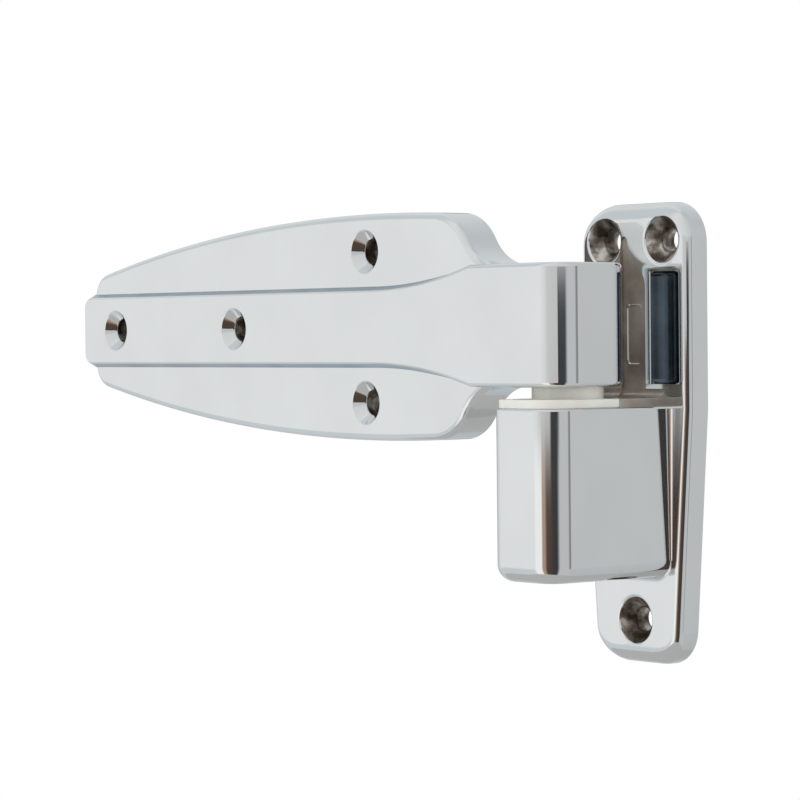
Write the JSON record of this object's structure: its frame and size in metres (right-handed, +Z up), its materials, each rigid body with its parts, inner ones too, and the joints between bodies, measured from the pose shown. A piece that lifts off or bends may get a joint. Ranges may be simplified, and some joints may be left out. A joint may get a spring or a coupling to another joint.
{
  "type": "cam lift hinge",
  "caption": "Cam lift door hinge: a wall flange with a barrel block carries a tapered strap, which climbs helical cams about an upright pin as the door swings open.",
  "frame": {"origin": "on the flange's back face, behind the hinge axis, at the height of the strap's middle", "axes": "+X along the wall away from the closed strap, +Y into the wall, +Z up along the hinge axis"},
  "size_m": [0.2526, 0.055, 0.1365],
  "materials": {
    "chrome_casting": "bright chrome plate on a polished zinc die casting",
    "cam_plastic": "moulded white acetal",
    "pin_steel": "ground steel"
  },
  "bodies": {
    "flange": {"flange": "chrome_casting", "lower_cam": "cam_plastic"},
    "pin": {"hinge_pin": "pin_steel"},
    "strap": {"strap": "chrome_casting", "upper_cam": "cam_plastic"}
  },
  "joints": [
    {"name": "strap_swing", "type": "hinge", "parent": "flange", "child": "pin", "pos_m": [0, -0.035, 0], "axis": [0, 0, 1], "range_deg": [0, 90]},
    {"name": "strap_lift", "type": "slide", "parent": "pin", "child": "strap", "axis": [0, 0, 1], "range_m": [0, 0.0095]}
  ],
  "couplings": [
    {"joint": "strap_lift", "follows": "strap_swing", "m_per_rad": 0.006047}
  ]
}
